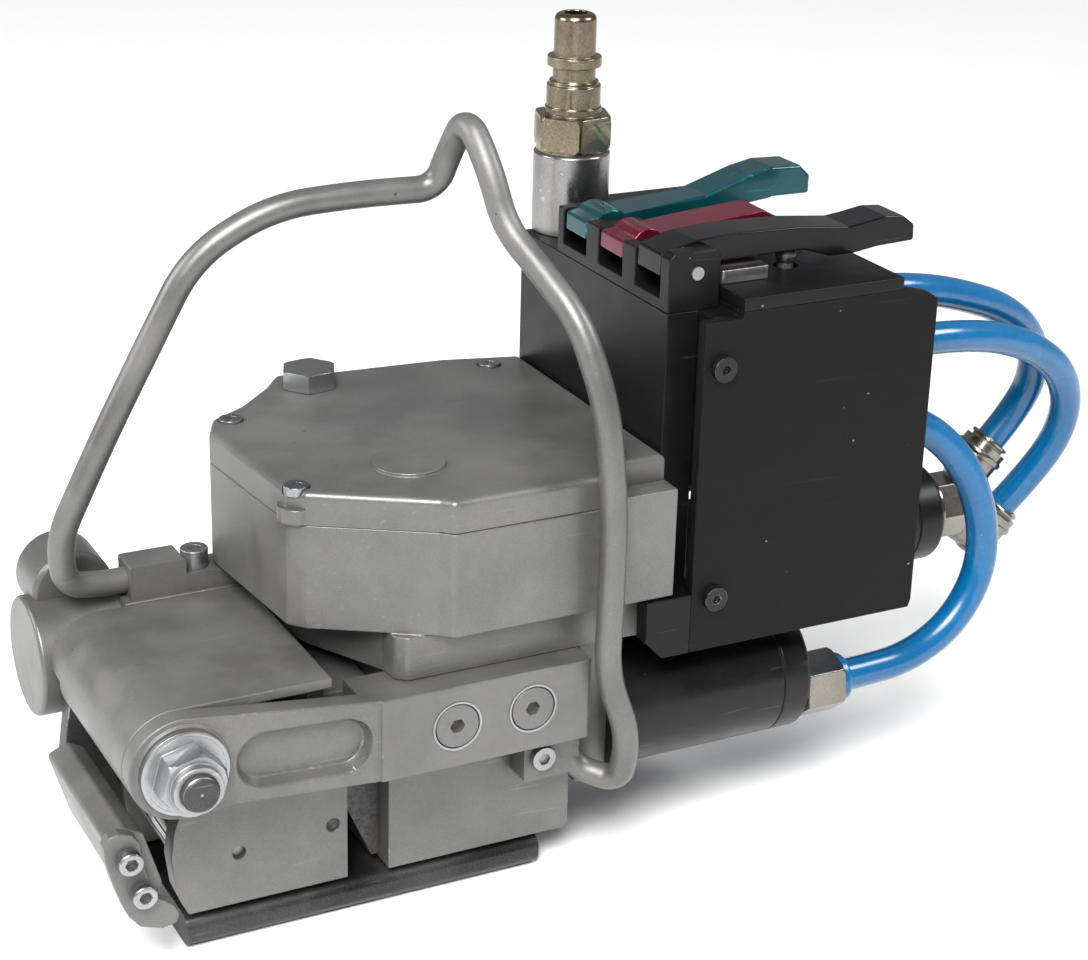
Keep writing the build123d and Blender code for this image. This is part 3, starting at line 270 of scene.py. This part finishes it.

# %% [markdown]
# Dirt colour is laid in the corners that ambient occlusion finds, which paints shade there as well as
# oil and strap dust. A noise keeps it from looking like an outline.

# %% Painted shade and dirt in the corners
shade_and_dirt, shade_and_dirt_in, shade_and_dirt_out = start_group(
    "shade_and_dirt", [("Vector", "Vector", None), ("Reach", "Float", 0.004), ("Amount", "Float", 0.5)], ["Mask"])
corner = add_node(shade_and_dirt, "AmbientOcclusion", {"samples": 4}, Distance=shade_and_dirt_in.outputs["Reach"])
smear = add_node(shade_and_dirt, "TexNoise", Vector=shade_and_dirt_in.outputs["Vector"], Scale=120.0, Detail=6.0, Roughness=0.7)
# Occluded corners turn into painted shade
painted_corner_shade = remap(shade_and_dirt, corner.outputs["AO"], 0.95, 0.35)
spotty = remap(shade_and_dirt, smear.outputs[0], 0.35, 0.65, 0.35, 1.0)
corner_shade_and_dirt = arithmetic(shade_and_dirt, "MULTIPLY", painted_corner_shade, spotty)
shade_and_dirt.links.new(arithmetic(shade_and_dirt, "MULTIPLY", corner_shade_and_dirt, shade_and_dirt_in.outputs["Amount"]), shade_and_dirt_out.inputs["Mask"])
print("group", shade_and_dirt.name)

# %% [markdown]
# Scratches are noise stretched along one direction until it turns to hairs, at two angles. Chips
# are small cells whose size is drawn at random, so that most are too small to see.

# %% Scratches and chips
scratches, scratch_in, scratch_out = start_group(
    "scratches", [("Vector", "Vector", None), ("Amount", "Float", 0.3)], ["Mask"])
hairs = []
for turn, stretch in (((0.3, 0.5, 0.4), (30, 900, 700)), ((1.1, -0.4, 2.0), (45, 800, 900))):
    mapping = add_node(scratches, "Mapping", Vector=scratch_in.outputs["Vector"], Rotation=turn,
                       Scale=stretch)
    hair = add_node(scratches, "TexNoise", Vector=mapping.outputs[0], Scale=1.0, Detail=1.0)
    hairs.append(remap(scratches, hair.outputs[0], 0.70, 0.76))
where = add_node(scratches, "TexNoise", Vector=scratch_in.outputs["Vector"], Scale=55.0, Detail=2.0)
both = arithmetic(scratches, "MAXIMUM", *hairs)
patches = remap(scratches, where.outputs[0], 0.42, 0.6)
here = arithmetic(scratches, "MULTIPLY", patches, scratch_in.outputs["Amount"])
scratches.links.new(arithmetic(scratches, "MULTIPLY", both, here), scratch_out.inputs["Mask"])

chips, chip_in, chip_out = start_group(
    "chips", [("Vector", "Vector", None), ("Scale", "Float", 300.0), ("Amount", "Float", 0.2)], ["Mask"])
cell = add_node(chips, "TexVoronoi", Vector=chip_in.outputs["Vector"], Scale=chip_in.outputs["Scale"])
size_draw = add_node(chips, "SeparateColor", Color=cell.outputs["Color"])
drawn = remap(chips, size_draw.outputs[0], 0.80, 1.0)
limit = arithmetic(chips, "MULTIPLY", drawn, chip_in.outputs["Amount"])
inside = arithmetic(chips, "LESS_THAN", cell.outputs["Distance"], limit)
chips.links.new(inside, chip_out.inputs["Mask"])
print("groups", scratches.name, chips.name)

# %% [markdown]
# ## Painted, coated and plated finishes
# One recipe lays the effects over each other in the order they happen to a real part: the finish,
# scratches, chips, worn edges, and dirt last, laid in the corners as painted shade. Each layer changes
# colour, roughness and metal.


# %% A layer between two values or colours
def layered(tree, mask, under, over):
    colour = not isinstance(over, float)
    mix = tree.nodes.new("ShaderNodeMix")
    mix.data_type = "RGBA" if colour else "FLOAT"
    first = 6 if colour else 2
    for socket, value in zip(mix.inputs[first:first + 2], (under, over)):
        if isinstance(value, bpy.types.NodeSocket):
            tree.links.new(value, socket)
        else:
            socket.default_value = (*value, 1.0) if colour else value
    tree.links.new(mask, mix.inputs[0])
    return mix.outputs[2 if colour else 0]


def placed(tree, group, **sockets):
    node = tree.nodes.new("ShaderNodeGroup")
    node.node_tree = group
    for key, value in sockets.items():
        if isinstance(value, bpy.types.NodeSocket):
            tree.links.new(value, node.inputs[key])
        else:
            node.inputs[key].default_value = value
    return node


# %% The recipe for a finish
def finish(name, dark, light, rough, metal, bite, layers=(), coat=0.0, coat_rough=0.1, specular=0.5):
    """layers: (effect, settings, colour, roughness, metal); bite: grain scale per metre, depth in mm."""
    material = bpy.data.materials.new(name)
    material.use_nodes = True
    tree = material.node_tree
    tree.nodes.clear()
    place = tree.nodes.new("ShaderNodeTexCoord").outputs["Object"]
    skin = placed(tree, grain, Vector=place, Scale=float(bite[0]))
    tone = arithmetic(tree, "ADD", arithmetic(tree, "MULTIPLY", skin.outputs["Tone"], 0.45),
                      arithmetic(tree, "MULTIPLY", skin.outputs["Drift"], 0.55))
    colour = layered(tree, tone, dark, light)
    roughness = remap(tree, skin.outputs["Drift"], 0.0, 1.0, rough[0], rough[1])
    metallic = metal
    for group, settings, over_colour, over_rough, over_metal in layers:
        if group is edge_wear:
            edge_number = add_node(tree, "Attribute", {"attribute_name": "edge"})
            settings = {**settings, "Edge": edge_number.outputs["Fac"]}
        mask = placed(tree, group, Vector=place, **settings).outputs["Mask"]
        colour = layered(tree, mask, colour, over_colour)
        roughness = layered(tree, mask, roughness, over_rough)
        if over_metal != metal or isinstance(metallic, bpy.types.NodeSocket):
            metallic = layered(tree, mask, metallic, over_metal)
    bump = add_node(tree, "Bump", Strength=1.0, Distance=bite[1] * MM, Height=skin.outputs["Height"])
    shader = add_node(tree, "BsdfPrincipled", Base_Color=colour, Roughness=roughness, Metallic=metallic,
                      Normal=bump.outputs[0])
    shader.inputs["Coat Weight"].default_value = coat
    shader.inputs["Coat Roughness"].default_value = coat_rough
    shader.inputs["Specular IOR Level"].default_value = specular
    out = tree.nodes.new("ShaderNodeOutputMaterial")
    tree.links.new(shader.outputs[0], out.inputs["Surface"])
    return material


# %% [markdown]
# The castings are sprayed with a silver paint: a grey base with fine aluminium flake, a soft
# sheen, and an orange peel that breaks up every reflection. Edges rub pale, and the corners get painted shade
# in a dirt colour.

# %% Silver cast paint
FINISHES = {}
# Dirt colour: the chips show it as dirt, and the corner layer lays it as painted shade.
DIRT_AND_SHADE = (0.030, 0.027, 0.024)
FINISHES["silver_paint"] = finish(
    "silver_cast_paint", (0.105, 0.104, 0.101), (0.178, 0.176, 0.171), (0.34, 0.48), 0.55, (1900, 0.030),
    [(scratches, {"Amount": 0.18}, (0.30, 0.30, 0.30), 0.38, 0.6),
     (chips, {"Scale": 210.0, "Amount": 0.07}, DIRT_AND_SHADE, 0.7, 0.0),
     (edge_wear, {"Amount": 0.36}, (0.26, 0.256, 0.248), 0.34, 0.6),
     # Last layer: painted shade in dirt colour, laid in the corners.
     (shade_and_dirt, {"Amount": 0.85}, DIRT_AND_SHADE, 0.75, 0.0)], specular=0.4)
print("finish", FINISHES["silver_paint"].name)

# %% [markdown]
# The guards are powder coated: a matt black with a sandy bite and a few pale nicks. The block and
# plates are hard anodised, which is smoother and shows its milling. The motor cans are painted.

# %% Black finishes
NICK = (0.20, 0.20, 0.21)
FINISHES["black_coat"] = finish(
    "black_powder_coat", (0.0025, 0.0025, 0.0028), (0.0055, 0.0055, 0.0060), (0.46, 0.62), 0.0, (2300, 0.055),
    [(scratches, {"Amount": 0.10}, (0.05, 0.05, 0.05), 0.5, 0.0),
     (chips, {"Scale": 320.0, "Amount": 0.09}, NICK, 0.5, 0.2),
     (edge_wear, {"Amount": 0.30}, (0.045, 0.045, 0.048), 0.42, 0.1)], specular=0.14)
FINISHES["black_hard_coat"] = finish(
    "black_hard_anodise", (0.0028, 0.0028, 0.0031), (0.0065, 0.0065, 0.0070), (0.28, 0.40), 0.0,
    (2600, 0.014),
    [(scratches, {"Amount": 0.16}, (0.07, 0.07, 0.075), 0.38, 0.2),
     (chips, {"Scale": 300.0, "Amount": 0.08}, NICK, 0.4, 0.4),
     (edge_wear, {"Amount": 0.34}, (0.12, 0.12, 0.125), 0.34, 0.5)], specular=0.18)
FINISHES["black_paint"] = finish(
    "black_motor_paint", (0.0028, 0.0028, 0.0031), (0.0070, 0.0070, 0.0075), (0.24, 0.38), 0.0, (1700, 0.012),
    [(scratches, {"Amount": 0.30}, (0.10, 0.10, 0.105), 0.4, 0.4),
     (chips, {"Scale": 260.0, "Amount": 0.10}, NICK, 0.4, 0.4),
     (edge_wear, {"Amount": 0.34}, (0.14, 0.14, 0.145), 0.34, 0.6),
     # Painted shade in a dirt colour, laid in the corners.
     (shade_and_dirt, {"Amount": 0.5}, (0.030, 0.027, 0.024), 0.7, 0.0)], specular=0.28)
FINISHES["black_screw"] = finish(
    "black_oxide_screw", (0.004, 0.004, 0.004), (0.010, 0.010, 0.010), (0.28, 0.42), 0.2, (2600, 0.008),
    [(edge_wear, {"Amount": 0.45}, (0.16, 0.16, 0.165), 0.3, 0.8)], specular=0.4)
print("black finishes", sum("black" in key for key in FINISHES))

# %% [markdown]
# Bare and plated metals are told apart by tint and polish: zinc is cool and bright, yellow zinc
# has a straw tint, nickel is warm and mirror-like, and worked steel is grey with tool marks.

# %% Bare and plated metals
# Oil colour that the corner layer lays as painted shade in the parts' hollows.
OIL_AND_SHADE = (0.075, 0.060, 0.040)
FINISHES["zinc"] = finish(
    "zinc_plate", (0.20, 0.203, 0.205), (0.40, 0.405, 0.41), (0.20, 0.38), 1.0, (2200, 0.008),
    [(scratches, {"Amount": 0.35}, (0.68, 0.68, 0.69), 0.22, 1.0),
     # The corner layer lays painted shade in a dirt colour.
     (shade_and_dirt, {"Amount": 0.9, "Reach": 0.002}, DIRT_AND_SHADE, 0.6, 0.2)])
FINISHES["machined_steel"] = finish(
    "machined_steel", (0.19, 0.185, 0.18), (0.36, 0.355, 0.35), (0.20, 0.38), 1.0, (1800, 0.010),
    [(scratches, {"Amount": 0.5}, (0.60, 0.60, 0.61), 0.22, 1.0),
     (shade_and_dirt, {"Amount": 0.7, "Reach": 0.002}, OIL_AND_SHADE, 0.55, 0.2)])
FINISHES["bronze"] = finish(
    "bronze_bush", (0.30, 0.17, 0.07), (0.48, 0.29, 0.13), (0.22, 0.40), 1.0, (1800, 0.008),
    [(shade_and_dirt, {"Amount": 0.8, "Reach": 0.002}, OIL_AND_SHADE, 0.5, 0.2)])
FINISHES["nickel"] = finish(
    "nickel_plate", (0.13, 0.12, 0.105), (0.30, 0.28, 0.245), (0.10, 0.24), 1.0, (1500, 0.006),
    [(scratches, {"Amount": 0.3}, (0.66, 0.62, 0.56), 0.18, 1.0),
     (shade_and_dirt, {"Amount": 0.8, "Reach": 0.002}, OIL_AND_SHADE, 0.5, 0.2)])
FINISHES["yellow_zinc"] = finish(
    "yellow_zinc_plate", (0.130, 0.108, 0.070), (0.30, 0.262, 0.185), (0.18, 0.38), 1.0, (900, 0.012),
    [(scratches, {"Amount": 0.4}, (0.44, 0.40, 0.30), 0.22, 1.0),
     (edge_wear, {"Amount": 0.45}, (0.46, 0.42, 0.33), 0.22, 1.0),
     (shade_and_dirt, {"Amount": 0.85, "Reach": 0.0025}, OIL_AND_SHADE, 0.5, 0.2)])
FINISHES["dark_steel"] = finish(
    "burnished_steel", (0.022, 0.022, 0.023), (0.085, 0.084, 0.086), (0.28, 0.50), 0.85, (1300, 0.020),
    [(scratches, {"Amount": 0.45}, (0.30, 0.30, 0.31), 0.3, 1.0),
     (edge_wear, {"Amount": 0.42}, (0.30, 0.30, 0.30), 0.3, 1.0),
     (shade_and_dirt, {"Amount": 0.6}, OIL_AND_SHADE, 0.6, 0.2)])
FINISHES["galvanised"] = finish(
    "galvanised_blade", (0.020, 0.020, 0.021), (0.120, 0.119, 0.121), (0.40, 0.62), 0.6, (420, 0.030),
    [(chips, {"Scale": 260.0, "Amount": 0.30}, (0.20, 0.20, 0.205), 0.45, 0.8),
     (scratches, {"Amount": 0.4}, (0.26, 0.26, 0.27), 0.4, 0.8), (shade_and_dirt, {"Amount": 0.6}, OIL_AND_SHADE, 0.6, 0.2)])
print("metals done")

# %% [markdown]
# The three levers are aluminium: one teal, one red, one black. The dye sits in a clear, glossy
# oxide, so the colour lies on metal under a coat, and the top edges have rubbed through.

# %% Lever colours and the hose
FINISHES["teal_anodised"] = finish(
    "teal_anodise", (0.001, 0.040, 0.052), (0.003, 0.082, 0.100), (0.24, 0.36), 0.6, (2200, 0.008),
    [(scratches, {"Amount": 0.3}, (0.06, 0.24, 0.27), 0.3, 0.8),
     (edge_wear, {"Amount": 0.42}, (0.06, 0.28, 0.32), 0.25, 0.9)], coat=0.3)
FINISHES["red_anodised"] = finish(
    "red_anodise", (0.085, 0.002, 0.014), (0.165, 0.006, 0.030), (0.24, 0.36), 0.6, (2200, 0.008),
    [(scratches, {"Amount": 0.3}, (0.40, 0.07, 0.12), 0.3, 0.8),
     (edge_wear, {"Amount": 0.42}, (0.42, 0.08, 0.14), 0.25, 0.9)], coat=0.3)
FINISHES["black_anodised"] = finish(
    "gloss_black_anodise", (0.0015, 0.0015, 0.0020), (0.0035, 0.0035, 0.0040), (0.16, 0.26), 0.0,
    (2200, 0.006),
    [(scratches, {"Amount": 0.2}, (0.05, 0.05, 0.055), 0.3, 0.0)], coat=0.12, specular=0.2)
FINISHES["blue_hose"] = finish(
    "blue_hose", (0.0, 0.072, 0.190), (0.0, 0.105, 0.255), (0.18, 0.28), 0.0, (300, 0.010),
    [(scratches, {"Amount": 0.3}, (0.03, 0.20, 0.42), 0.4, 0.0)], coat=0.25, coat_rough=0.08)
for hose in hoses:
    hose.data.materials.append(FINISHES["blue_hose"])
print("finishes", len(FINISHES))

# %% [markdown]
# ## Softened copies of the CAD solids
# No real casting or plate has a knife edge: the small radius is what catches the light. A copy of
# each solid has its loose triangles merged, its flat faces made whole, and its sharp edges
# bevelled. The new edge faces are numbered for the wear, and weighted normals keep flats flat.

# %% Softened copy
SLOT_OF = {part["node"]: part["material_slot"] for part in frame["record"]["subparts"]}


def finished_object(name, mesh, body, slot, own_finish=None):
    for face in mesh.faces:
        face.smooth = True
    data = bpy.data.meshes.new(name)
    mesh.to_mesh(data)
    mesh.free()
    piece = bpy.data.objects.new(name, data)
    bpy.context.scene.collection.objects.link(piece)
    data.materials.append(FINISHES[own_finish or slot])
    weights = piece.modifiers.new("flat_faces_first", "WEIGHTED_NORMAL")
    weights.keep_sharp = True
    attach(piece, body)
    return piece


def whole_faces(node):
    mesh = bmesh.new()
    mesh.from_mesh(frame["nodes"][node].data)
    bmesh.ops.remove_doubles(mesh, verts=mesh.verts, dist=0.002 * MM)
    bmesh.ops.dissolve_limit(mesh, angle_limit=radians(0.8), verts=mesh.verts, edges=mesh.edges)
    return mesh


def troubled(mesh, surface, reach):
    """Places where a bevel left the solid's surface or folded over itself."""
    places = []
    for vert in mesh.verts:
        if surface.find_nearest(vert.co)[3] > reach:
            places += [vert.co.copy()] + [e.other_vert(vert).co.copy() for e in vert.link_edges]
    for edge in mesh.edges:
        if edge.is_manifold and edge.calc_face_angle(0.0) > radians(165):
            places += [vert.co.copy() for vert in edge.verts]
    return places


def softened(node, radius=0.35, sharper_than=28, segments=2, own_finish=None):
    """A bevelled copy. Where a bevel fails, those edges stay sharp and it is made again, a little finer."""
    size, left_sharp = radius * MM, []
    surface = BVHTree.FromBMesh(whole_faces(node))
    for attempt in range(6):
        mesh = whole_faces(node)
        edge_layer = mesh.faces.layers.float.new("edge")
        sharp = [e for e in mesh.edges if e.is_manifold and e.calc_face_angle(0.0) > radians(sharper_than)]
        if left_sharp:
            tree = KDTree(len(left_sharp))
            for number, place in enumerate(left_sharp):
                tree.insert(place, number)
            tree.balance()
            sharp = [e for e in sharp if min(tree.find(v.co)[2] for v in e.verts) > 1.6 * size]
        made = bmesh.ops.bevel(mesh, geom=sharp, offset=size, offset_type="OFFSET", segments=segments,
                               profile=0.5, affect="EDGES", clamp_overlap=False, material=-1)
        for face in made["faces"]:
            face[edge_layer] = 1.0
        bad = troubled(mesh, surface, 1.1 * size)
        if not bad:
            break
        left_sharp += bad
        size *= 0.85
    if bad:
        mesh = whole_faces(node)
        mesh.faces.layers.float.new("edge")
    for edge in mesh.edges:
        edge.smooth = edge.calc_face_angle(pi) < radians(50)
    print(node, "tries", attempt + 1, "faces", len(mesh.faces), "no bevel" if bad else "bevelled")
    piece = finished_object("made_" + node, mesh, frame["nodes"][node]["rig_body"], SLOT_OF[node], own_finish)
    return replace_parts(piece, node)


# %% Castings, plates and levers
EDGE_RADIUS = {
    "gear_housing": 0.5, "gear_lid": 0.4, "worm_casting": 0.5, "nose_cover": 0.4, "near_arm": 0.4,
    "tension_block": 0.35, "seal_case": 0.35, "guide_plate": 0.3, "guide_bar": 0.3, "motor_plate": 0.4,
    "bail_clamps": 0.3, "front_plate": 0.3, "top_plate": 0.3, "valve_body": 0.3, "near_guard": 0.3,
    "far_guard": 0.3, "lever_bracket": 0.3, "lever_run": 0.4, "lever_seal": 0.4, "lever_tension": 0.9,
    "stop_block": 0.25, "sole_plate": 0.3, "foot_wall": 0.3, "oil_plug": 0.3, "seal_motor_housing": 0.3,
    "tension_motor_housing": 0.3, "inlet_bushing": 0.3, "air_plug": 0.25, "nose_nut": 0.3,
    "nose_bolt": 0.3, "arm_screws": 0.2, "case_screws": 0.15, "guide_screws": 0.2, "guard_screws": 0.15,
    "seal_fitting": 0.3, "swivel_body": 0.3, "elbow_fittings": 0.3, "hose_collar": 0.2,
    "hose_ports": 0.2,
}
pieces = {}
for node, radius in EDGE_RADIUS.items():
    pieces[node] = softened(node, radius, segments=3 if radius > 0.6 else 2)

# %% [markdown]
# The cutter's blade carrier is plain hot-dipped steel, so it is dull, dark and mottled. It shares
# the steel slot with the shafts, but takes a finish of its own.

# %% Blade
pieces["cutter_blade"] = softened("cutter_blade", 0.2, own_finish="galvanised")

# %% [markdown]
# ## Turned fittings
# Threads, release rings and washers are turned parts, so each is one outline spun about the part's
# own axis. The outline is drawn as pairs of distance along the axis and radius. Real threads are
# helical, but at this size closed rings look the same and cost a tenth of the faces.


# %% Helper that spins an outline about an axis
def turned(name, outline, start, along, body, slot, steps=48):
    """outline: (distance along the axis, radius) in mm, drawn as a closed loop; start and along in mm."""
    mesh = bmesh.new()
    mesh.faces.layers.float.new("edge")
    axis = Vector(along).normalized()
    side = axis.orthogonal().normalized()
    loop = [mesh.verts.new(at(*start) + (axis * far + side * out) * MM) for far, out in outline]
    edges = [mesh.edges.new((a, b)) for a, b in zip(loop, loop[1:] + loop[:1])]
    bmesh.ops.spin(mesh, geom=loop + edges, cent=at(*start), axis=axis, angle=2 * pi, steps=steps,
                   use_merge=True)
    bmesh.ops.recalc_face_normals(mesh, faces=mesh.faces)
    for edge in mesh.edges:
        edge.smooth = edge.calc_face_angle(pi) < radians(40)
    return finished_object(name, mesh, body, slot)


# %% [markdown]
# A push-in fitting holds its hose with a release ring, a thin sleeve that stands a little out of
# the socket and has a small flange to push on. Each of the three ports has one at its mouth.

# %% Release rings at the block's ports
PORT_MOUTH = 60.0
PORTS = {"upper": (22.0, -9.0), "lower": (13.0, -20.0), "seal": (9.0, -36.5)}
RING_OUTLINE = [(0.05, 4.75), (1.1, 4.75), (1.3, 5.5), (1.9, 5.6), (2.2, 5.3), (2.2, 4.7), (0.05, 4.6)]
for port_name, (y, z) in PORTS.items():
    turned("release_ring_" + port_name, RING_OUTLINE, (PORT_MOUTH, y, z), (1, 0, 0), "frame", "nickel")
print("release rings", len(PORTS))

# %% [markdown]
# The two elbows on the tension motor's swivel are plated and hold their hoses the same way, so each
# elbow has a release ring round its hose, and a raised collar round its sleeve.

# %% Rings on the elbow fittings
SLEEVE_R = 6.2
COLLAR_OUTLINE = [(2.0, SLEEVE_R - 0.3), (2.0, SLEEVE_R + 0.25), (2.3, SLEEVE_R + 0.5), (3.3, SLEEVE_R + 0.5),
                  (3.6, SLEEVE_R + 0.25), (3.6, SLEEVE_R - 0.3)]
MOUTH_OUTLINE = [(-1.9, 4.35), (-1.9, 5.2), (-1.6, 5.5), (-1.0, 5.5), (-0.8, 4.8), (-0.05, 4.8),
                 (-0.05, 4.35)]
for route_name in ("hose_upper", "hose_lower"):
    tip, before = Vector(ROUTES[route_name][-1]), Vector(ROUTES[route_name][-2])
    way = (tip - before).normalized()
    turned("elbow_collar_" + route_name, COLLAR_OUTLINE, tip, way, "frame", "nickel")
    turned("elbow_ring_" + route_name, MOUTH_OUTLINE, tip, way, "frame", "nickel")
print("elbow rings 4")

# %% [markdown]
# The nose bolt's end stands out of its nut, so its thread shows: two rings of fine M8 thread, each
# with a sloped crest, then the dark, turned end of the bolt. A thin washer lies under the nut.

# %% Thread rings, bolt end and washer at the nose nut
NOSE_X, NOSE_Z = -116.8, -80.8
NUT_END, ARM_FACE, BOLT_R, PITCH = 20.4, -10.8, 4.0, 0.5
for number in range(2):
    low = NUT_END + 0.05 + number * PITCH
    crest = [(low, BOLT_R - 0.05), (low + 0.12, BOLT_R + 0.16), (low + 0.30, BOLT_R + 0.16),
             (low + 0.42, BOLT_R - 0.05)]
    turned(f"thread_ring_{number}", crest, (NOSE_X, 0, NOSE_Z), (0, -1, 0), "frame", "dark_steel")
WASHER_OUTLINE = [(-1.55, 8.75), (-1.55, 9.35), (-1.35, 9.6), (-0.25, 9.6), (-0.05, 9.4), (-0.05, 8.75)]
turned("spring_washer", WASHER_OUTLINE, (NOSE_X, ARM_FACE, NOSE_Z), (0, 1, 0), "frame", "zinc")
END_OUTLINE = [(21.9, 3.85), (22.1, 3.75), (22.35, 3.2), (22.4, 1.0), (22.1, 0.4), (21.9, 0.4)]
turned("bolt_end", END_OUTLINE, (NOSE_X, 0, NOSE_Z), (0, -1, 0), "frame", "dark_steel")
print("nose bolt dressed")

# %% [markdown]
# The two big screws of the arm sit flush in turned seats. Each seat shows as a thin bright ring
# where the cutter broke through the paint.

# %% Bright rings round the arm screws
SEAT_OUTLINE = [(0.0, 5.32), (0.0, 5.75), (-0.18, 5.85), (-0.18, 5.40)]
for number, (x, z) in enumerate(((-54.5, -84.0), (-36.1, -83.6))):
    turned(f"seat_ring_{number}", SEAT_OUTLINE, (x, ARM_FACE, z), (0, 1, 0), "frame", "zinc")
print("seat rings 2")

# %% [markdown]
# ## The remaining solids
# The shafts, gears, springs, plungers and jaws already have the right shape, and most sit out of
# the light, so they keep their CAD mesh and only take their finish.

# %% Finishes on the CAD solids
for node, solid in frame["nodes"].items():
    if node in pieces or node in ROUTES:
        continue
    solid.data.materials.clear()
    solid.data.materials.append(FINISHES[SLOT_OF[node]])
    print(node, SLOT_OF[node])

# %% [markdown]
# ## Floor finish
# The sheet is plain: a pale matt paper with no pattern to draw the eye from the tool.

# %% Floor finish
paper = bpy.data.materials.new("pale_paper")
paper.use_nodes = True
paper.node_tree.nodes["Principled BSDF"].inputs["Base Color"].default_value = (0.86, 0.86, 0.86, 1)
paper.node_tree.nodes["Principled BSDF"].inputs["Roughness"].default_value = 0.9
floor.data.materials.append(paper)
print("floor finish", paper.name)
